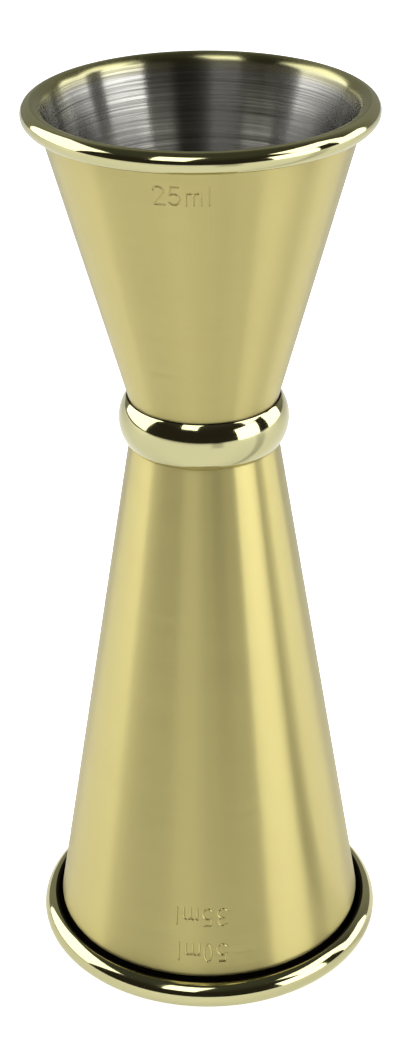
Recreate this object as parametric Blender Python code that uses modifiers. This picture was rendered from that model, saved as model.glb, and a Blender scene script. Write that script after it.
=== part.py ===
"""Bar jigger: two drawn steel cups joined base to base, with a polished collar over the joint.

The large cup stands on its rolled rim and the small cup opens upwards. Lengths are in metres, +Z is up, and
the origin is on the table, in the middle of the large cup's rim. Each cup and the collar is the middle line
of its sheet, turned about Z by a Screw modifier and given its thickness by a Solidify modifier.
"""

import math

import bpy

# Whole object
HEIGHT = 0.1178
WAIST_HEIGHT = 0.07685
SEGMENTS = 64

# Cups: each wall is a straight taper from the waist, measured on its outer face
CUP_SHEET = 0.0008
BASE_GAP = 0.0005
BASE_CORNER_RADIUS = 0.0012
BASE_CORNER_STEPS = 5
SMALL_CUP = {"waist_radius": 0.00863, "rim_radius": 0.0213, "curl_radius": 0.0009, "curl_points": 12}
LARGE_CUP = {"waist_radius": 0.00898, "rim_radius": 0.0232, "curl_radius": 0.00153, "curl_points": 11}

# The large cup's wall ends in a shoulder and a straight neck, which leaves a deep groove behind its curl
SHOULDER_RADIUS = 0.02066
SHOULDER_HEIGHT = 0.0043
NECK_TOP = 0.0037

# A curl, seen from its middle: a flat facet at the crest, and a free edge near its far side
CURL_STEP = math.radians(22.5)
CURL_FIRST_STEPS_BEFORE_CREST = 2.5

# Collar: a hollow, flattened half-round ring, open to the inside, whose edges almost touch the two tapers
COLLAR_SHEET = 0.0003
COLLAR_OUTER_RADIUS = 0.01077
COLLAR_BULGE_RADIUS = 0.005
COLLAR_TOP_ANGLE = math.radians(37.6)
COLLAR_BOTTOM_ANGLE = math.radians(37.3)
COLLAR_STEPS = 12

# Welds that hold the two bases back to back
WELD_COUNT = 3
WELD_RADIUS = 0.0013
WELD_CIRCLE_RADIUS = 0.0038
WELD_CLEARANCE = 0.00005
WELD_SIDES = 24

MERGE_DISTANCE = 0.00001
SMOOTH_ANGLE = math.radians(35)


def clear_scene():
    for obj in list(bpy.data.objects):
        bpy.data.objects.remove(obj, do_unlink=True)


def make_collection(name):
    collection = bpy.data.collections.new(name)
    bpy.context.scene.collection.children.link(collection)
    return collection


def make_material(name, colour, roughness, metallic):
    material = bpy.data.materials.new(name)
    material.use_nodes = True
    shader = material.node_tree.nodes["Principled BSDF"]
    shader.inputs["Base Color"].default_value = (*colour, 1.0)
    shader.inputs["Roughness"].default_value = roughness
    shader.inputs["Metallic"].default_value = metallic
    return material


def on_circle(centre, radius, angle):
    return (centre[0] + radius * math.cos(angle), centre[1] + radius * math.sin(angle))


def curl_centre(rim_radius, curl_radius, length):
    """The middle of a rim's curl as (radius, distance from the waist)."""
    facet_reach = curl_radius * math.cos(CURL_STEP / 2) + CUP_SHEET / 2
    return (rim_radius - facet_reach, length - facet_reach)


def corner_line(wall_start, taper):
    """The middle of the sheet from the base's centre, round the corner that touches both base and wall."""
    base_level = BASE_GAP / 2 + CUP_SHEET / 2
    corner_level = base_level + BASE_CORNER_RADIUS
    wall_at_corner = wall_start + corner_level * math.tan(taper)
    corner_centre = (wall_at_corner - BASE_CORNER_RADIUS / math.cos(taper), corner_level)
    line = [(0.0, base_level)]
    for step in range(BASE_CORNER_STEPS + 1):
        share = step / BASE_CORNER_STEPS
        angle = -math.pi / 2 * (1 - share) - taper * share
        line.append(on_circle(corner_centre, BASE_CORNER_RADIUS, angle))
    return line


def curl_line(centre, radius, points):
    """The middle of the sheet round a curl, over its crest to its free edge."""
    angles = [math.pi / 2 + CURL_STEP * (CURL_FIRST_STEPS_BEFORE_CREST - step) for step in range(points)]
    return [on_circle(centre, radius, angle) for angle in angles]


def small_cup_line(waist_radius, rim_radius, curl_radius, curl_points):
    """The small cup's sheet as (radius, distance from the waist). Its wall runs straight into the curl."""
    centre = curl_centre(rim_radius, curl_radius, HEIGHT - WAIST_HEIGHT)
    wall_start = waist_radius - CUP_SHEET / 2
    run, rise = centre[0] - wall_start, centre[1]
    wall_angle = math.atan2(rise, run) + math.asin(curl_radius / math.hypot(run, rise))
    taper = math.pi / 2 - wall_angle
    line = corner_line(wall_start, taper)
    line.append(on_circle(centre, curl_radius, math.pi - taper))
    return line + curl_line(centre, curl_radius, curl_points)


def large_cup_line(waist_radius, rim_radius, curl_radius, curl_points):
    """The large cup's sheet as (radius, distance from the waist), with a shoulder and a neck."""
    centre = curl_centre(rim_radius, curl_radius, WAIST_HEIGHT)
    half_sheet = CUP_SHEET / 2
    wall_start = waist_radius - half_sheet
    shoulder = (SHOULDER_RADIUS - half_sheet, WAIST_HEIGHT - SHOULDER_HEIGHT)
    neck_radius = centre[0] - curl_radius
    taper = math.atan2(shoulder[0] - wall_start, shoulder[1])
    line = corner_line(wall_start, taper)
    line.append(shoulder)
    line.append((neck_radius, WAIST_HEIGHT - NECK_TOP))
    line.append((neck_radius, centre[1]))
    return line + curl_line(centre, curl_radius, curl_points)


def collar_middle_line():
    """The middle of the collar's sheet as (radius, height), from its top edge down to its bottom edge."""
    radius = COLLAR_BULGE_RADIUS - COLLAR_SHEET / 2
    centre = (COLLAR_OUTER_RADIUS - COLLAR_BULGE_RADIUS, WAIST_HEIGHT)
    sweep = COLLAR_TOP_ANGLE + COLLAR_BOTTOM_ANGLE
    return [
        on_circle(centre, radius, COLLAR_TOP_ANGLE - sweep * step / COLLAR_STEPS)
        for step in range(COLLAR_STEPS + 1)
    ]


def make_turned_sheet(name, line, thickness, material, collection):
    """Turns a middle line of (radius, height) points about Z and thickens it evenly to both sides."""
    mesh = bpy.data.meshes.new(name)
    points = [(radius, 0.0, height) for radius, height in line]
    edges = [(i, i + 1) for i in range(len(points) - 1)]
    mesh.from_pydata(points, edges, [])
    mesh.materials.append(material)
    obj = bpy.data.objects.new(name, mesh)
    collection.objects.link(obj)

    screw = obj.modifiers.new("Turn", "SCREW")
    screw.axis = "Z"
    screw.angle = math.tau
    screw.steps = SEGMENTS
    screw.render_steps = SEGMENTS
    screw.use_merge_vertices = True
    screw.merge_threshold = MERGE_DISTANCE
    screw.use_smooth_shade = True

    sheet = obj.modifiers.new("Sheet", "SOLIDIFY")
    sheet.thickness = thickness
    sheet.offset = 0.0
    sheet.use_even_offset = True
    return obj


def make_small_cup(material, collection):
    line = small_cup_line(**SMALL_CUP)
    outside_down = [(radius, WAIST_HEIGHT + along) for radius, along in reversed(line)]
    return make_turned_sheet("upper_cup", outside_down, CUP_SHEET, material, collection)


def make_large_cup(material, collection):
    line = large_cup_line(**LARGE_CUP)
    outside_down = [(radius, WAIST_HEIGHT - along) for radius, along in line]
    return make_turned_sheet("lower_cup", outside_down, CUP_SHEET, material, collection)


def make_collar(material, collection):
    return make_turned_sheet("waist_collar", collar_middle_line(), COLLAR_SHEET, material, collection)


def make_weld(number, material, collection):
    """One flat nugget between the two bases, on a circle round the middle."""
    angle = math.tau * number / WELD_COUNT
    bpy.ops.mesh.primitive_cylinder_add(
        vertices=WELD_SIDES,
        radius=WELD_RADIUS,
        depth=BASE_GAP - 2 * WELD_CLEARANCE,
        location=(WELD_CIRCLE_RADIUS * math.cos(angle), WELD_CIRCLE_RADIUS * math.sin(angle), WAIST_HEIGHT),
    )
    weld = bpy.context.object
    weld.name = f"base_spot_weld_{number + 1}"
    weld.data.materials.append(material)
    weld.data.shade_smooth()
    weld.data.set_sharp_from_angle(angle=SMOOTH_ANGLE)
    for owner in list(weld.users_collection):
        owner.objects.unlink(weld)
    collection.objects.link(weld)
    return weld


def main():
    clear_scene()
    jigger = make_collection("bar_jigger")
    gold_satin = make_material("gold_satin", colour=(0.62, 0.55, 0.24), roughness=0.32, metallic=1.0)
    gold_polished = make_material("gold_polished", colour=(0.74, 0.70, 0.36), roughness=0.06, metallic=1.0)
    bare_steel = make_material("bare_steel", colour=(0.52, 0.51, 0.49), roughness=0.4, metallic=1.0)

    make_small_cup(gold_satin, jigger)
    make_large_cup(gold_satin, jigger)
    make_collar(gold_polished, jigger)
    for number in range(WELD_COUNT):
        make_weld(number, bare_steel, jigger)


main()
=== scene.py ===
# %% [markdown]
# # A bar jigger in gold-coated steel
# The jigger is two drawn steel cups, joined base to base, with a polished ring over the joint. The packed
# model holds the true sizes, so this lesson loads it first and builds each finer piece around it. What
# makes the object look real is thin metal: the rolled rims, the brushing round the cups, the stamped
# measures and what the polished beads reflect.

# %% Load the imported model
import math

import bmesh
import bpy
import numpy as np
from mathutils import Matrix, Vector


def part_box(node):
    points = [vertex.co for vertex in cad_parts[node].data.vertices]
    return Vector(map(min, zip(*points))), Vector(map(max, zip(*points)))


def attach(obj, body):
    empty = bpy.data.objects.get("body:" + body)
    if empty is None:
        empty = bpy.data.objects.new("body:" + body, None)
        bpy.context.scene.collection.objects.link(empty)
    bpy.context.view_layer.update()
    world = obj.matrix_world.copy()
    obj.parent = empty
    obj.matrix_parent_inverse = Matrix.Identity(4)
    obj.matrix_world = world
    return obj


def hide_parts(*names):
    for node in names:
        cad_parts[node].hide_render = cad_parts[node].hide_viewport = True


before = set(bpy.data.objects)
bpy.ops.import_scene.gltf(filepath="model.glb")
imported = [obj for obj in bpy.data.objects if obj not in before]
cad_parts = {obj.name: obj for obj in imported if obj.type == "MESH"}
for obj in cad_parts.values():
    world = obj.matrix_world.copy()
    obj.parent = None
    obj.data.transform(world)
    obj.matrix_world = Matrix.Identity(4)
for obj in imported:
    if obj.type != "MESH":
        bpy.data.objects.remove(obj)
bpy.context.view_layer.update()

print("nodes:", ", ".join(sorted(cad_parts)))

# %% [markdown]
# ## Main sizes
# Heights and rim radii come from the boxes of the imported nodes. The two bases face each other across a
# small gap, and the waist is in its middle. The sheet, the waist radii and the curl radii are the same as
# in the solids, so the fine pieces lie in the same place.

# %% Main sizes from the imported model
MM = 0.001
upper_low, upper_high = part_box("upper_cup")
lower_low, lower_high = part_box("lower_cup")
collar_low, collar_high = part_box("waist_collar")
TOP = upper_high.z
WAIST = (upper_low.z + lower_high.z) / 2
BASE_GAP = upper_low.z - lower_high.z
UPPER_RIM = upper_high.x
LOWER_RIM = lower_high.x
COLLAR_RADIUS = collar_high.x
SHEET = 0.8 * MM
BASE_CORNER = 1.2 * MM
UPPER_WAIST = 8.63 * MM
LOWER_WAIST = 8.98 * MM
UPPER_CURL = 0.9 * MM
LOWER_CURL = 1.53 * MM
print("waist at", round(WAIST / MM, 2), "mm")
print("rims", round(UPPER_RIM / MM, 2), "and", round(LOWER_RIM / MM, 2), "mm in radius")

# %% [markdown]
# ## How a turned sheet is drawn
# A cup starts as a flat disc, is pressed into a cone, and its edge is rolled outwards. Its section is
# drawn once in the XZ plane, as short stretches of edges, and each stretch is spun round Z. Straight
# stretches are a few vertices. Round stretches are one vertex spun about the middle of the curve.
# Spinning stretch by stretch lets each face of the sheet keep its own finish, and merging the doubles
# joins them into one closed skin.

# %% Section and spin helpers
WEDGES = 16
WEDGE_STEPS = 15
WEDGE = math.tau / WEDGES
MERGE = 1e-7
SUPPORT = 0.12 * MM


def straight(bm, points):
    """Edges through (radius, height) points. Returns the new vertices and edges."""
    verts = [bm.verts.new((radius, 0, height)) for radius, height in points]
    edges = [bm.edges.new(pair) for pair in zip(verts, verts[1:])]
    return verts + edges


def wall_points(start, end, extra=()):
    """A straight wall with a support ring close to each end, so that the curves beside it don't tilt its
    shading."""
    start, end = Vector(start), Vector(end)
    length = (end - start).length
    along = sorted([0, SUPPORT, *extra, length - SUPPORT, length])
    return [tuple(start.lerp(end, distance / length)) for distance in along]


def arc(bm, centre, radius, start, end, steps):
    """One vertex spun about a centre in the section plane, from angle start to angle end, in radians."""
    first = bm.verts.new((centre[0] + radius * math.cos(start), 0, centre[1] + radius * math.sin(start)))
    made = bmesh.ops.spin(
        bm,
        geom=[first],
        cent=(centre[0], 0, centre[1]),
        axis=(0, -1, 0),
        angle=end - start,
        steps=steps,
        use_merge=False,
    )
    last = [item for item in made["geom_last"] if isinstance(item, bmesh.types.BMVert)][0]
    return walk(first, last)


def walk(first, last):
    """The vertices and edges from one end of an open chain to the other."""
    found, edges, at, came = [first], [], first, None
    while at is not last:
        edge = [e for e in at.link_edges if e is not came][0]
        edges.append(edge)
        at, came = edge.other_vert(at), edge
        found.append(at)
    return found + edges


def turn(bm, stretch, finish):
    """Spins one stretch of the section through one wedge and gives its faces a finish number."""
    before = set(bm.faces)
    bmesh.ops.spin(
        bm,
        geom=stretch,
        cent=(0, 0, 0),
        axis=(0, 0, 1),
        angle=WEDGE,
        steps=WEDGE_STEPS,
        use_merge=False,
    )
    for face in bm.faces:
        if face not in before:
            face.material_index = finish


def close_skin(bm):
    """Repeats the wedge right round Z and merges everything into one closed skin with its faces outwards."""
    bmesh.ops.spin(
        bm,
        geom=list(bm.verts) + list(bm.edges) + list(bm.faces),
        cent=(0, 0, 0),
        axis=(0, 0, 1),
        angle=math.tau - WEDGE,
        steps=WEDGES - 1,
        use_duplicate=True,
    )
    bmesh.ops.remove_doubles(bm, verts=bm.verts, dist=MERGE)
    flat_faces = [face for face in bm.faces if face.calc_area() < MERGE * MERGE]
    bmesh.ops.delete(bm, geom=flat_faces, context="FACES")
    bmesh.ops.recalc_face_normals(bm, faces=bm.faces)
    for face in bm.faces:
        face.smooth = True


def finish_piece(bm, name, materials, node):
    """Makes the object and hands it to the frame."""
    mesh = bpy.data.meshes.new(name)
    bm.to_mesh(mesh)
    open_edges = sum(1 for edge in bm.edges if not edge.is_manifold)
    bm.free()
    for material in materials:
        mesh.materials.append(material)
    piece = bpy.data.objects.new(name, mesh)
    bpy.context.scene.collection.objects.link(piece)
    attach(piece, "root")
    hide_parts(node)
    mesh.calc_loop_triangles()
    print(name, len(mesh.loop_triangles), "triangles,", open_edges, "open edges")
    return piece


# %% [markdown]
# ## The finishes: what brushing does
# A brushed cup is scratched round and round by an abrasive belt while it turns. Each scratch is far finer
# than the eye can follow, so only its effect is seen: a highlight is pulled out along the cup, across the
# scratches, and stays narrow round it. The Principled shader does this with anisotropy, which needs to
# know the scratches' direction at every point. That is the direction round Z, worked out from the
# object's own coordinates. The coarser scratches are added on top, as noise that is squeezed along Z.

# %% Node helpers for the metals


def new_metal(name, colour, roughness, anisotropy):
    """A metal material with the shader's even values set on its own sockets."""
    material = bpy.data.materials.new(name)
    material.use_nodes = True
    tree = material.node_tree
    shader = next(node for node in tree.nodes if node.type == "BSDF_PRINCIPLED")
    shader.inputs["Base Color"].default_value = (*colour, 1)
    shader.inputs["Metallic"].default_value = 1
    shader.inputs["Roughness"].default_value = roughness
    shader.inputs["Anisotropic"].default_value = anisotropy
    shader.inputs["Anisotropic Rotation"].default_value = 0.25
    return material, tree, shader


def add_node(tree, kind, **settings):
    node = tree.nodes.new(kind)
    for key, value in settings.items():
        setattr(node, key, value)
    return node


def object_axes(tree):
    """The object's own coordinates, whole and as X, Y and Z."""
    place = add_node(tree, "ShaderNodeTexCoord")
    split = add_node(tree, "ShaderNodeSeparateXYZ")
    tree.links.new(place.outputs["Object"], split.inputs[0])
    return place.outputs["Object"], split.outputs


def calculate(tree, operation, *values):
    """A Math node whose inputs are sockets or numbers."""
    node = add_node(tree, "ShaderNodeMath", operation=operation)
    for socket, value in zip(node.inputs, values):
        if isinstance(value, (int, float)):
            socket.default_value = value
        else:
            tree.links.new(value, socket)
    return node.outputs[0]


def scratches(tree, place, along, across, detail=2.0):
    """Noise squeezed along Z: across is its fineness along the cup, and along its fineness round the cup."""
    squeeze = add_node(tree, "ShaderNodeMapping")
    squeeze.inputs["Scale"].default_value = (along, along, across)
    tree.links.new(place, squeeze.inputs["Vector"])
    noise = add_node(tree, "ShaderNodeTexNoise")
    noise.inputs["Scale"].default_value = 1.0
    noise.inputs["Detail"].default_value = detail
    noise.inputs["Roughness"].default_value = 0.6
    tree.links.new(squeeze.outputs[0], noise.inputs["Vector"])
    return noise.outputs["Fac"]


def remap(tree, value, low, high, from_low=0.3, from_high=0.7):
    """Stretches a noise value to the range low to high."""
    node = add_node(tree, "ShaderNodeMapRange")
    node.inputs["From Min"].default_value = from_low
    node.inputs["From Max"].default_value = from_high
    node.inputs["To Min"].default_value = low
    node.inputs["To Max"].default_value = high
    tree.links.new(value, node.inputs["Value"])
    return node.outputs[0]


def round_direction(tree, shader, axes):
    """Points the shader's grain round Z."""
    turned = add_node(tree, "ShaderNodeCombineXYZ")
    tree.links.new(calculate(tree, "MULTIPLY", axes["Y"], -1), turned.inputs["X"])
    tree.links.new(axes["X"], turned.inputs["Y"])
    unit = add_node(tree, "ShaderNodeVectorMath", operation="NORMALIZE")
    tree.links.new(turned.outputs[0], unit.inputs[0])
    tree.links.new(unit.outputs[0], shader.inputs["Tangent"])


def bump(tree, shader, height, depth):
    """Relief from a noise value, depth in metres."""
    node = add_node(tree, "ShaderNodeBump")
    node.inputs["Strength"].default_value = 1.0
    node.inputs["Distance"].default_value = depth
    tree.links.new(height, node.inputs["Height"])
    tree.links.new(node.outputs[0], shader.inputs["Normal"])


def blend_colour(tree, factor, first, second):
    """A colour between two, each a socket or an (r, g, b)."""
    node = add_node(tree, "ShaderNodeMix", data_type="RGBA")
    tree.links.new(factor, node.inputs["Factor"])
    for socket, value in ((node.inputs[6], first), (node.inputs[7], second)):
        if isinstance(value, tuple):
            socket.default_value = (*value, 1)
        else:
            tree.links.new(value, socket)
    return node.outputs[2]


# %% [markdown]
# ## Satin gold for the cups' outsides
# The coating is a pale, slightly green gold. Fine scratches carry most of the look through anisotropy. A
# broad, slight change of colour and a fine change of roughness keep the walls from looking like plastic.

# %% Satin gold
GOLD = (0.48, 0.43, 0.175)
GOLD_WARM = (0.48, 0.41, 0.17)
SATIN_ROUGHNESS = (0.28, 0.34)
SATIN_STRETCH = 1.0
SATIN_RELIEF = 0.002 * MM


def make_satin_gold():
    material, tree, shader = new_metal("satin_gold", GOLD, SATIN_ROUGHNESS[0], SATIN_STRETCH)
    place, axes = object_axes(tree)
    round_direction(tree, shader, axes)
    fine = scratches(tree, place, along=60, across=9000)
    broad = scratches(tree, place, along=35, across=260, detail=1.0)
    tree.links.new(remap(tree, fine, *SATIN_ROUGHNESS), shader.inputs["Roughness"])
    tree.links.new(blend_colour(tree, broad, GOLD, GOLD_WARM), shader.inputs["Base Color"])
    bump(tree, shader, fine, depth=SATIN_RELIEF)
    return material


satin_gold = make_satin_gold()
print("made", satin_gold.name)

# %% [markdown]
# ## Polished gold for the rims and the collar
# The rolled rims and the collar are buffed after they are formed. They reflect the room almost like a
# mirror, so their roughness is low. Buffing leaves very slight waves, which break up the edges of each
# reflection.

# %% Polished gold
POLISHED = (0.50, 0.475, 0.26)
MIRROR_ROUGHNESS = (0.05, 0.10)
MIRROR_WAVES = 0.01 * MM


def make_polished_gold():
    material, tree, shader = new_metal("polished_gold", POLISHED, MIRROR_ROUGHNESS[0], 0.0)
    place, axes = object_axes(tree)
    wave = scratches(tree, place, along=180, across=260, detail=1.0)
    haze = scratches(tree, place, along=90, across=3000)
    tree.links.new(remap(tree, haze, *MIRROR_ROUGHNESS), shader.inputs["Roughness"])
    bump(tree, shader, wave, depth=MIRROR_WAVES)
    return material


polished_gold = make_polished_gold()
print("made", polished_gold.name)

# %% [markdown]
# ## Brushed steel inside the cups
# Inside, the sheet is bare and shows clear rings from the brushing. The coating reaches a little way over
# the lip and has faded out two millimetres down, so the colour depends on the depth below the rim,
# measured along Z.

# %% Brushed steel with a gold lip
STEEL = (0.48, 0.475, 0.45)
STEEL_DARK = (0.15, 0.147, 0.135)
LIP_GOLD = (0.36, 0.345, 0.17)
LIP_FULL = 0.4 * MM
LIP_FADE = 2.2 * MM
LINING_ROUGHNESS = (0.27, 0.19)
LINING_STRETCH = 0.95
LINING_RELIEF = 0.003 * MM


def make_lining(name, rim_height, direction):
    """direction is +1 where the mouth faces up and -1 where it faces down."""
    material, tree, shader = new_metal(name, STEEL, LINING_ROUGHNESS[0], LINING_STRETCH)
    place, axes = object_axes(tree)
    round_direction(tree, shader, axes)
    rings = scratches(tree, place, along=40, across=5200, detail=3.0)
    depth = calculate(tree, "MULTIPLY", calculate(tree, "SUBTRACT", axes["Z"], rim_height), -direction)
    fade = remap(tree, depth, 1, 0, LIP_FULL, LIP_FADE)
    bare = blend_colour(tree, remap(tree, rings, 0, 1), STEEL_DARK, STEEL)
    tree.links.new(blend_colour(tree, fade, bare, LIP_GOLD), shader.inputs["Base Color"])
    tree.links.new(remap(tree, rings, *LINING_ROUGHNESS), shader.inputs["Roughness"])
    bump(tree, shader, rings, depth=LINING_RELIEF)
    return material


upper_lining = make_lining("upper_lining", TOP, 1)
lower_lining = make_lining("lower_lining", 0, -1)
print("made", upper_lining.name, "and", lower_lining.name)

# %% [markdown]
# ## The dark groove, painted shade
# The groove behind the large cup's bead, the hollow inside its curl, and the collar's cut edges and its
# inside, which are not polished, get a rough, nearly black metal, a little browner where the noise is high.
# This black is painted shade: it stands in for the shadow and the dark reflections in these recesses.

# %% Dark groove, painted shade
GROOVE_SHADE_BLACK = (0.006, 0.005, 0.005)
GROOVE_SHADE_BROWN = (0.03, 0.022, 0.014)
GROOVE_ROUGHNESS = (0.5, 0.75)
SHADE_MOTTLE_RELIEF = 0.02 * MM


def make_groove_painted_shade():
    material, tree, shader = new_metal("groove_painted_shade", GROOVE_SHADE_BLACK, GROOVE_ROUGHNESS[0], 0.0)
    place, axes = object_axes(tree)
    shade_mottle = scratches(tree, place, along=400, across=900, detail=3.0)
    # The nearly black and brown colour is painted shade for the groove and the hollows.
    tree.links.new(blend_colour(tree, shade_mottle, GROOVE_SHADE_BLACK, GROOVE_SHADE_BROWN), shader.inputs["Base Color"])
    tree.links.new(remap(tree, shade_mottle, *GROOVE_ROUGHNESS), shader.inputs["Roughness"])
    bump(tree, shader, shade_mottle, depth=SHADE_MOTTLE_RELIEF)
    return material


groove_painted_shade = make_groove_painted_shade()
print("made", groove_painted_shade.name)

# %% [markdown]
# ## The stamped measures
# The measures are struck into the cup with small punches, so each stroke is a shallow groove with round
# sides. A bump map would do from afar, but a real groove also shades at its ends and survives the export.
# Each character is drawn as a few strokes on a grid one unit high. The strokes are turned into a depth
# for every vertex of a fine patch on the wall.

# %% Characters as strokes


def curve(centre, size, start, end, steps=10):
    """Points along part of an ellipse, from angle start to angle end, in degrees."""
    angles = np.radians(np.linspace(start, end, steps + 1))
    return [(centre[0] + size[0] * math.cos(a), centre[1] + size[1] * math.sin(a)) for a in angles]


STROKES = {
    "0": [curve((0.2, 0.5), (0.19, 0.5), 0, 360, 24)],
    "2": [curve((0.26, 0.73), (0.25, 0.27), 165, -35) + [(0.02, 0.0), (0.53, 0.0)]],
    "3": [
        curve((0.25, 0.76), (0.22, 0.24), 150, -80) + [(0.18, 0.53)],
        curve((0.24, 0.27), (0.27, 0.27), 80, -155),
    ],
    "5": [[(0.47, 1.0), (0.1, 1.0), (0.06, 0.56)] + curve((0.25, 0.32), (0.27, 0.31), 130, -145)],
    "m": [
        [(0.0, 0.0), (0.0, 0.66)],
        curve((0.18, 0.48), (0.18, 0.18), 180, 0, 8) + [(0.36, 0.0)],
        curve((0.54, 0.48), (0.18, 0.18), 180, 0, 8) + [(0.72, 0.0)],
    ],
    "l": [[(0.0, 0.0), (0.0, 1.0)]],
}
ADVANCE = {"0": 0.64, "2": 0.74, "3": 0.78, "5": 0.82, "m": 1.1, "l": 0.0}


def measure_strokes(text, size):
    """Every stroke of a measure as points in metres, centred on its own middle."""
    strokes, pen = [], 0.0
    for character in text:
        strokes += [[(pen + x, y) for x, y in stroke] for stroke in STROKES[character]]
        pen += ADVANCE[character]
    return [[((x - pen / 2) * size, (y - 0.5) * size) for x, y in stroke] for stroke in strokes]


def distance_to(strokes, points):
    """The distance from each (u, v) point to the nearest stroke."""
    nearest = np.full(len(points), 1.0)
    for stroke in strokes:
        line = np.array(stroke)
        for start, end in zip(line, line[1:]):
            run = end - start
            share = np.clip(((points - start) @ run) / (run @ run), 0, 1)
            gap = np.linalg.norm(points - start - share[:, None] * run, axis=1)
            nearest = np.minimum(nearest, gap)
    return nearest


print("characters:", " ".join(STROKES))

# %% Stamping a measure into a wall
GROOVE_HALF_WIDTH = 0.16 * MM
GROOVE_DEPTH = 0.12 * MM
PATCH_ROW = 0.45 * MM
PATCH_CUTS = 8
PATCH_MARGIN = 0.35 * MM


def patch_levels(marks):
    """The heights of the rings that the fine patches need, for wall_points."""
    levels = []
    for mark in marks:
        half = mark["size"] / 2 + PATCH_MARGIN
        rows = math.ceil(2 * half / PATCH_ROW)
        levels += [mark["height"] - half + 2 * half * row / rows for row in range(rows + 1)]
    return levels


def stamp(bm, mark, wall_radius, taper):
    """Refines the wall under one measure and presses its strokes in. wall_radius(z) is the wall's true
    radius, and taper the angle that its outward side is tipped up by, in radians."""
    strokes = measure_strokes(mark["text"], mark["size"])
    wide = max(abs(x) for stroke in strokes for x, _ in stroke) + PATCH_MARGIN
    half = mark["size"] / 2 + PATCH_MARGIN
    middle_radius = wall_radius(mark["height"])

    def across(point):
        """How far round the wall a point is from the middle of the measure."""
        azimuth = math.atan2(point.x, -point.y)
        return (azimuth - mark["azimuth"]) * middle_radius

    chosen = [
        face
        for face in bm.faces
        if face.material_index == OUTSIDE
        and abs(face.calc_center_median().z - mark["height"]) < half
        and abs(across(face.calc_center_median())) < wide + PATCH_ROW / 2
        and face.calc_center_median().y < 0
    ]
    edges = list({edge for face in chosen for edge in face.edges})
    made = bmesh.ops.subdivide_edges(bm, edges=edges, cuts=PATCH_CUTS, use_grid_fill=True)
    verts = {item for item in made["geom_inner"] if isinstance(item, bmesh.types.BMVert)}
    verts |= {v for face in chosen if face.is_valid for v in face.verts}
    verts = list(verts)

    for vert in verts:
        true = wall_radius(vert.co.z) / math.hypot(vert.co.x, vert.co.y)
        vert.co.x *= true
        vert.co.y *= true
    flip = -1 if mark["upside_down"] else 1
    points = np.array([(across(v.co), (v.co.z - mark["height"]) / math.cos(taper)) for v in verts]) * flip
    gap = distance_to(strokes, points)
    inside = np.clip(gap / GROOVE_HALF_WIDTH, 0, 1)
    depth = GROOVE_DEPTH * np.cos(inside * math.pi / 2) ** 2
    for vert, press in zip(verts, depth):
        radius = math.hypot(vert.co.x, vert.co.y)
        outward = Vector((vert.co.x / radius, vert.co.y / radius, math.tan(taper))).normalized()
        vert.co -= outward * press
    print("stamped", mark["text"], "on", len(chosen), "faces,", len(verts), "points")


# %% [markdown]
# ## The cups
# Both cups are the same kind of drawing: flat base, small corner, straight taper, and a rim curled
# outwards. The face that is inside the cup runs over the rim and becomes the outside of the bead, so it
# changes finish at the crest. The large cup has a shoulder and a neck before its curl. They leave a deep
# groove round the foot, whose faces get a nearly black finish as painted shade, so it reads as a black line.

# %% Where the parts of a cup's section are
OUTSIDE, LINING, BEAD, GROOVE = range(4)
HALF = SHEET / 2
FACET = math.radians(22.5)


def curl_place(rim_radius, curl_radius, length):
    """The curl's middle, and the radius of its sheet's middle line. It just fits inside the solids."""
    reach = curl_radius * math.cos(FACET / 2) + HALF
    centre = (rim_radius - reach, length - reach)
    return centre, rim_radius - centre[0] - HALF


def small_section():
    """The small cup's section: its wall runs straight into the curl. Heights count from the waist."""
    centre, radius = curl_place(UPPER_RIM, UPPER_CURL, TOP - WAIST)
    foot = UPPER_WAIST - HALF
    run, rise = centre[0] - foot, centre[1]
    slope = math.atan2(rise, run) + math.asin(UPPER_CURL / math.hypot(run, rise))
    return {"centre": centre, "radius": radius, "foot": foot, "taper": math.pi / 2 - slope, "neck": None}


SHOULDER_RADIUS = 20.66 * MM
SHOULDER_HEIGHT = 4.3 * MM
NECK_TOP = 3.7 * MM


def large_section():
    """The large cup's section, with its shoulder and neck as points on the middle of the sheet."""
    centre, radius = curl_place(LOWER_RIM, LOWER_CURL, WAIST)
    foot = LOWER_WAIST - HALF
    shoulder = (SHOULDER_RADIUS - HALF, WAIST - SHOULDER_HEIGHT)
    taper = math.atan2(shoulder[0] - foot, shoulder[1])
    neck = [shoulder, (centre[0] - radius, WAIST - NECK_TOP), (centre[0] - radius, centre[1])]
    return {"centre": centre, "radius": radius, "foot": foot, "taper": taper, "neck": neck}


BEND = 0.55 * MM


def bend(before, corner, after):
    """The arc that rounds a corner of the sheet's middle line. way is +1 where it curls towards the axis."""
    first = (Vector(corner) - Vector(before)).normalized()
    second = (Vector(after) - Vector(corner)).normalized()
    angle = math.atan2(first.x * second.y - first.y * second.x, first.dot(second))
    way = 1 if angle > 0 else -1
    touch = Vector(corner) - first * BEND * math.tan(abs(angle) / 2)
    centre = touch + Vector((-first.y, first.x)) * way * BEND
    start = math.atan2(touch.y - centre.y, touch.x - centre.x)
    return {"centre": tuple(centre), "start": start, "end": start + angle, "way": way}


def on_bend(corner, side, place):
    """A point on the outer (+1) or inner (-1) face of a bend, at its start or its end."""
    radius = BEND + corner["way"] * side * HALF
    angle = corner[place]
    return (corner["centre"][0] + radius * math.cos(angle), corner["centre"][1] + radius * math.sin(angle))


print("small cup's taper", round(math.degrees(small_section()["taper"]), 2), "degrees")
print("large cup's taper", round(math.degrees(large_section()["taper"]), 2), "degrees")

# %% Neck and curl
CORNER_STEPS = 8
BEND_STEPS = 6
BEAD_STEPS = 48
HOLLOW_STEPS = 24
EDGE_STEPS = 6
POLISH_FROM = math.radians(84)


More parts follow.
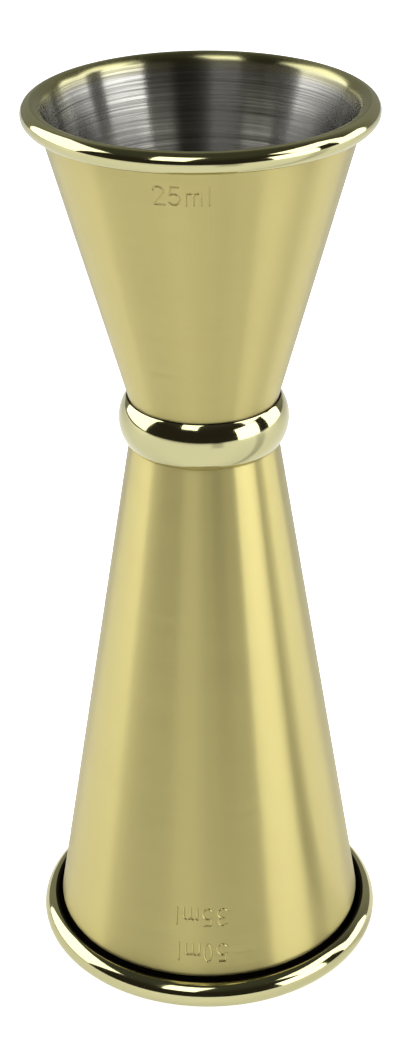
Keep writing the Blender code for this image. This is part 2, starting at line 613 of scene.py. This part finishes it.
def turn_neck(bm, section, shoulder, throat):
    """The shoulder, the slope below it, the throat and the neck, on both faces of the sheet."""
    for side, shoulder_finish, neck_finish in ((1, OUTSIDE, GROOVE), (-1, LINING, LINING)):
        for corner, finish in ((shoulder, shoulder_finish), (throat, neck_finish)):
            reach = BEND + corner["way"] * side * HALF
            turn(bm, arc(bm, corner["centre"], reach, corner["start"], corner["end"], BEND_STEPS), finish)
        slope = [on_bend(shoulder, side, "end"), on_bend(throat, side, "start")]
        neck_radius = section["centre"][0] - section["radius"] + side * HALF
        neck = [on_bend(throat, side, "end"), (neck_radius, section["centre"][1])]
        turn(bm, straight(bm, slope), neck_finish)
        turn(bm, straight(bm, neck), neck_finish)


def turn_curl(bm, centre, radius, curl_start, curl_end):
    """The curl's hollow inside, its free edge, the polished bead, and the lining up to the crest."""
    edge = (centre[0] + radius * math.cos(curl_end), centre[1] - radius * math.sin(curl_end))
    turn(bm, arc(bm, centre, radius - HALF, curl_start, -curl_end, HOLLOW_STEPS), GROOVE)
    turn(bm, arc(bm, edge, HALF, -curl_end, -curl_end - math.pi, EDGE_STEPS), GROOVE)
    turn(bm, arc(bm, centre, radius + HALF, -curl_end, POLISH_FROM, BEAD_STEPS), BEAD)
    turn(bm, arc(bm, centre, radius + HALF, POLISH_FROM, curl_start, BEAD_STEPS // 2), LINING)


# %% A whole cup


def make_cup(name, section, up, marks, curl_end, materials):
    """Turns one cup. up is +1 where the cup opens upwards from the waist and -1 where it opens downwards."""
    taper, centre, radius, neck = (section[key] for key in ("taper", "centre", "radius", "neck"))
    level = BASE_GAP / 2 + HALF + BASE_CORNER
    corner = (section["foot"] + level * math.tan(taper) - BASE_CORNER / math.cos(taper), level)
    bm = bmesh.new()

    def beside(middle, reach, side):
        """The point where the wall leaves a round stretch: +1 away from the axis, -1 nearer to it."""
        return (middle[0] + side * reach * math.cos(taper), middle[1] - side * reach * math.sin(taper))

    def face_radius(height):
        """The outer face's radius at a height."""
        return section["foot"] + (height - WAIST) * up * math.tan(taper) + HALF / math.cos(taper)

    outer_start = beside(corner, BASE_CORNER + HALF, 1)
    inner_start = beside(corner, BASE_CORNER - HALF, 1)
    levels = [(height - WAIST) * up for height in patch_levels(marks)]
    rings = [(along - outer_start[1]) / math.cos(taper) for along in levels]
    if neck:
        shoulder, throat = bend((section["foot"], 0), *neck[:2]), bend(*neck)
        curl_start = math.pi
        outer_end, inner_end = on_bend(shoulder, 1, "start"), on_bend(shoulder, -1, "start")
    else:
        curl_start = math.pi - taper
        outer_end = beside(centre, radius - HALF, -1)
        inner_end = beside(centre, radius + HALF, -1)

    bottom, top = corner[1] - BASE_CORNER - HALF, corner[1] - BASE_CORNER + HALF
    turn(bm, straight(bm, [(0, bottom), (corner[0], bottom)]), OUTSIDE)
    turn(bm, arc(bm, corner, BASE_CORNER + HALF, -math.pi / 2, -taper, CORNER_STEPS), OUTSIDE)
    turn(bm, straight(bm, wall_points(outer_start, outer_end, rings)), OUTSIDE)
    if neck:
        turn_neck(bm, section, shoulder, throat)
    turn_curl(bm, centre, radius, curl_start, curl_end)
    turn(bm, straight(bm, wall_points(inner_end, inner_start)), LINING)
    turn(bm, arc(bm, corner, BASE_CORNER - HALF, -taper, -math.pi / 2, CORNER_STEPS), LINING)
    turn(bm, straight(bm, [(corner[0], top), (0, top)]), LINING)

    place = Matrix.Translation((0, 0, WAIST)) @ Matrix.Diagonal((1, 1, up, 1))
    bmesh.ops.transform(bm, matrix=place, verts=bm.verts)
    close_skin(bm)
    for mark in marks:
        stamp(bm, mark, face_radius, -up * taper)
    return finish_piece(bm, name, materials, name.replace("_sheet", ""))


# %% The small cup
UPPER_CURL_END = math.radians(101.25)


def measure(text, size, height, azimuth, upside_down):
    """A measure's text, letter height and place: its height and its azimuth from the front, in degrees."""
    return {
        "text": text,
        "size": size * MM,
        "height": height * MM,
        "azimuth": math.radians(azimuth),
        "upside_down": upside_down,
    }


upper_marks = [measure("25ml", size=2.4, height=112.05, azimuth=-7.2, upside_down=False)]
upper_finishes = [satin_gold, upper_lining, polished_gold, satin_gold]
upper_cup = make_cup(
    "upper_cup_sheet", small_section(), 1, upper_marks, UPPER_CURL_END, upper_finishes
)

# %% The large cup
LOWER_CURL_END = math.radians(78.75)
lower_marks = [
    measure("50ml", size=2.55, height=7.6, azimuth=-2.6, upside_down=True),
    measure("35ml", size=2.5, height=12.8, azimuth=-2.9, upside_down=True),
]
# The last finish, on the neck, the groove and the curl's hollow, is painted shade.
lower_finishes = [satin_gold, lower_lining, polished_gold, groove_painted_shade]
lower_cup = make_cup(
    "lower_cup_sheet", large_section(), -1, lower_marks, LOWER_CURL_END, lower_finishes
)

# %% [markdown]
# ## The collar
# The collar is a thin ring with a half-round section. Its edges turn in and almost touch the two tapers.
# Its cut edges and its inside get the nearly black painted shade, which makes the dark hairline above it.
# It is turned in the same way: an outer arc, two tiny round edges and an inner arc. Only the outer arc is
# polished.

# %% Turning the collar
COLLAR_BULGE = 5.0 * MM
COLLAR_SHEET = 0.3 * MM
COLLAR_TOP = math.radians(37.6)
COLLAR_BOTTOM = math.radians(-37.3)
COLLAR_STEPS = 40


def make_collar():
    half = COLLAR_SHEET / 2
    centre = (COLLAR_RADIUS - COLLAR_BULGE, WAIST)
    middle = COLLAR_BULGE - half
    bm = bmesh.new()
    turn(bm, arc(bm, centre, COLLAR_BULGE, COLLAR_TOP, COLLAR_BOTTOM, COLLAR_STEPS), 0)
    turn(bm, arc(bm, centre, COLLAR_BULGE - COLLAR_SHEET, COLLAR_BOTTOM, COLLAR_TOP, COLLAR_STEPS // 2), 1)
    for angle, way in ((COLLAR_TOP, 1), (COLLAR_BOTTOM, -1)):
        edge = (centre[0] + middle * math.cos(angle), centre[1] + middle * math.sin(angle))
        turn(bm, arc(bm, edge, half, angle, angle + way * math.pi, EDGE_STEPS), 1)
    close_skin(bm)
    # The second finish, on the cut edges and the inside, is painted shade.
    finishes = [polished_gold, groove_painted_shade]
    return finish_piece(bm, "waist_collar_ring", finishes, "waist_collar")


collar = make_collar()

# %% [markdown]
# ## The welds
# The three spot welds sit between the bases and are never seen, but they keep their place in the model.
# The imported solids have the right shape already, so they only get the dull, mottled look of welded steel.

# %% Weld metal
WELD_DARK = (0.30, 0.28, 0.27)
WELD_LIGHT = (0.52, 0.50, 0.47)
WELD_ROUGHNESS = (0.4, 0.6)
WELD_RELIEF = 0.02 * MM


def make_weld_steel():
    material, tree, shader = new_metal("weld_steel", WELD_LIGHT, WELD_ROUGHNESS[0], 0.0)
    place, axes = object_axes(tree)
    mottle = scratches(tree, place, along=1500, across=1500, detail=3.0)
    tree.links.new(blend_colour(tree, mottle, WELD_DARK, WELD_LIGHT), shader.inputs["Base Color"])
    tree.links.new(remap(tree, mottle, *WELD_ROUGHNESS), shader.inputs["Roughness"])
    bump(tree, shader, mottle, depth=WELD_RELIEF)
    return material


weld_steel = make_weld_steel()
for name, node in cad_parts.items():
    if name.startswith("base_spot_weld"):
        node.data.materials.clear()
        node.data.materials.append(weld_steel)
print("welds finished in", weld_steel.name)

# %% [markdown]
# ## The table
# The jigger stands on a plain white table. It has to be large, because the lower half of every bead shows
# it. It glows a little of its own, like a lit acrylic sheet. The metal sees a weaker glow than the camera
# does, which fades towards the back as painted shade and has two darker streaks in it, painted dark
# reflections, because the walls would look flat if they reflected an even white.
# The first streak begins a hand's width away from the foot, so only the large cup, which leans back,
# shows it.

# %% White table
TABLE_SIZE = 8.0
TABLE_WHITE = 0.9
GLOW_SEEN = 0.95
GLOW_FRONT = 0.46
GLOW_BACK = 0.05
GLOW_FADE = (0.0, 0.35)
STREAKS = ((17, 0.24), (78, 0.0))
STREAK_CORE = 4
STREAK_EDGE = 10
STREAK_FADE = 0.06


def streaked_glow(tree):
    """The glow that the metal reflects: weaker towards the back as painted shade, and in the streaks as
    painted dark reflections.
    """
    place, axes = object_axes(tree)
    glow = remap(tree, axes["Y"], GLOW_FRONT, GLOW_BACK, *GLOW_FADE)
    azimuth = calculate(tree, "ARCTAN2", axes["X"], calculate(tree, "MULTIPLY", axes["Y"], -1))
    squares = [calculate(tree, "MULTIPLY", axes[name], axes[name]) for name in ("X", "Y")]
    distance = calculate(tree, "SQRT", calculate(tree, "ADD", *squares))
    # Each streak is a painted dark reflection in the glow.
    for streak, begins in STREAKS:
        beside = calculate(tree, "ABSOLUTE", calculate(tree, "SUBTRACT", azimuth, math.radians(streak)))
        clear = remap(tree, beside, 0, 1, math.radians(STREAK_CORE), math.radians(STREAK_EDGE))
        near = remap(tree, distance, 1, 0, begins, begins + STREAK_FADE)
        glow = calculate(tree, "MULTIPLY", glow, calculate(tree, "MAXIMUM", clear, near))
    return glow


def make_table():
    bm = bmesh.new()
    bmesh.ops.create_grid(bm, x_segments=1, y_segments=1, size=TABLE_SIZE / 2)
    mesh = bpy.data.meshes.new("table")
    bm.to_mesh(mesh)
    bm.free()
    material = bpy.data.materials.new("table_white")
    material.use_nodes = True
    shader = next(node for node in material.node_tree.nodes if node.type == "BSDF_PRINCIPLED")
    shader.inputs["Base Color"].default_value = (TABLE_WHITE, TABLE_WHITE, TABLE_WHITE, 1)
    shader.inputs["Roughness"].default_value = 0.9
    shader.inputs["Specular IOR Level"].default_value = 0.0
    shader.inputs["Emission Color"].default_value = (1, 1, 1, 1)
    tree = material.node_tree
    path = add_node(tree, "ShaderNodeLightPath")
    choose = add_node(tree, "ShaderNodeMix", data_type="FLOAT")
    tree.links.new(path.outputs["Is Camera Ray"], choose.inputs["Factor"])
    tree.links.new(streaked_glow(tree), choose.inputs[2])
    choose.inputs[3].default_value = GLOW_SEEN
    tree.links.new(choose.outputs[0], shader.inputs["Emission Strength"])
    mesh.materials.append(material)
    table = bpy.data.objects.new("table", mesh)
    bpy.context.scene.collection.objects.link(table)
    return table


table = make_table()
print("table", TABLE_SIZE, "m wide")

# %% [markdown]
# ## The lights
# Polished metal shows its lights, so they are placed by where their reflections fall. One tall softbox
# stands to the left. On the right two low ones leave a narrow gap between them, which is the dark line
# down the large cup, and a third one above them lights the inside of the small cup without a gap. A lamp
# high in front gives the short white mark on each bead. Azimuth is counted from the front, and plus is to
# the right. Each softbox is given its brightness, and its power follows from its area.

# %% Softboxes
AIM = Vector((0, 0, 0.06))
STAND = 1.4
LAMP_STAND = 1.2


def softbox(name, azimuth, elevation, size, brightness, distance=STAND):
    """A rectangle of light that faces the jigger. Its width and height are angles in degrees."""
    turn_by, rise = math.radians(azimuth), math.radians(elevation)
    way = Vector((math.sin(turn_by) * math.cos(rise), -math.cos(turn_by) * math.cos(rise), math.sin(rise)))
    data = bpy.data.lights.new(name, "AREA")
    data.shape = "RECTANGLE"
    data.size, data.size_y = (2 * distance * math.tan(math.radians(angle) / 2) for angle in size)
    data.energy = brightness * math.pi * data.size * data.size_y
    lamp = bpy.data.objects.new(name, data)
    lamp.rotation_mode = "QUATERNION"
    lamp.rotation_quaternion = (-way).to_track_quat("-Z", "Y")
    lamp.location = AIM + way * distance
    lamp.visible_camera = False
    bpy.context.scene.collection.objects.link(lamp)
    return lamp


softbox("left_softbox", -106, 26, (52, 50), 3.0)
softbox("right_softbox", 61, 13, (33, 30), 3.5)
softbox("right_back_softbox", 108, 13, (30, 30), 3.2)
softbox("right_high_softbox", 85, 42, (38, 26), 3.2)
softbox("front_lamp", -22, 54, (20, 36), 3.2, LAMP_STAND)
print("lights:", ", ".join(light.name for light in bpy.data.lights))

# %% [markdown]
# ## The room
# Beyond the lights the room is dim, which gives the beads their dark bands. The camera sees a pale room
# instead, so that views from low down keep a clean background.

# %% Room light
ROOM_DARK = (0.030, 0.027, 0.022)
ROOM_BACK = (0.30, 0.30, 0.26)
ROOM_CEILING = (0.07, 0.075, 0.06)
ROOM_PALE = (0.96, 0.96, 0.96)


def make_room():
    world = bpy.data.worlds.new("room")
    bpy.context.scene.world = world
    world.use_nodes = True
    tree = world.node_tree
    tree.nodes.clear()
    place = add_node(tree, "ShaderNodeTexCoord")
    split = add_node(tree, "ShaderNodeSeparateXYZ")
    tree.links.new(place.outputs["Generated"], split.inputs[0])
    behind = remap(tree, split.outputs["Y"], 0, 1, 0.25, 0.75)
    height = remap(tree, split.outputs["Z"], 0, 1, 0.55, 0.95)
    walls = blend_colour(tree, behind, ROOM_DARK, ROOM_BACK)
    shade = blend_colour(tree, height, walls, ROOM_CEILING)
    dim = add_node(tree, "ShaderNodeBackground")
    tree.links.new(shade, dim.inputs["Color"])
    pale = add_node(tree, "ShaderNodeBackground")
    pale.inputs["Color"].default_value = (*ROOM_PALE, 1)
    path = add_node(tree, "ShaderNodeLightPath")
    choose = add_node(tree, "ShaderNodeMixShader")
    tree.links.new(path.outputs["Is Camera Ray"], choose.inputs[0])
    tree.links.new(dim.outputs[0], choose.inputs[1])
    tree.links.new(pale.outputs[0], choose.inputs[2])
    output = add_node(tree, "ShaderNodeOutputWorld")
    tree.links.new(choose.outputs[0], output.inputs["Surface"])


make_room()

# %% [markdown]
# ## The camera
# The camera looks down on the jigger from a short way off, so the mouth opens into a wide ellipse and the
# walls lean in towards the foot. A slight roll tips the whole object by less than a degree.

# %% Camera
CAMERA_BACK = 252.7 * MM
CAMERA_HEIGHT = 194.4 * MM
CAMERA_DOWN = 0.48645
CAMERA_TURN = -0.00266
CAMERA_ROLL = -0.01271
CAMERA_LENS = 75.36


def make_camera():
    ahead = Vector((
        math.sin(CAMERA_TURN) * math.cos(CAMERA_DOWN),
        math.cos(CAMERA_TURN) * math.cos(CAMERA_DOWN),
        -math.sin(CAMERA_DOWN),
    ))
    level_right = ahead.cross(Vector((0, 0, 1))).normalized()
    level_up = level_right.cross(ahead)
    right = math.cos(CAMERA_ROLL) * level_right + math.sin(CAMERA_ROLL) * level_up
    up = math.cos(CAMERA_ROLL) * level_up - math.sin(CAMERA_ROLL) * level_right
    data = bpy.data.cameras.new("camera")
    data.sensor_width = 36.0
    data.lens = CAMERA_LENS
    data.clip_start = 0.01
    camera = bpy.data.objects.new("camera", data)
    bpy.context.scene.collection.objects.link(camera)
    turned = Matrix((right, up, -ahead)).transposed().to_4x4()
    camera.matrix_world = Matrix.Translation((0, -CAMERA_BACK, CAMERA_HEIGHT)) @ turned
    bpy.context.scene.camera = camera
    return camera


camera = make_camera()
bpy.context.scene.view_settings.view_transform = "Standard"
print("camera at", [round(value / MM, 1) for value in camera.location], "mm")

# %% Finish
bpy.context.view_layer.update()
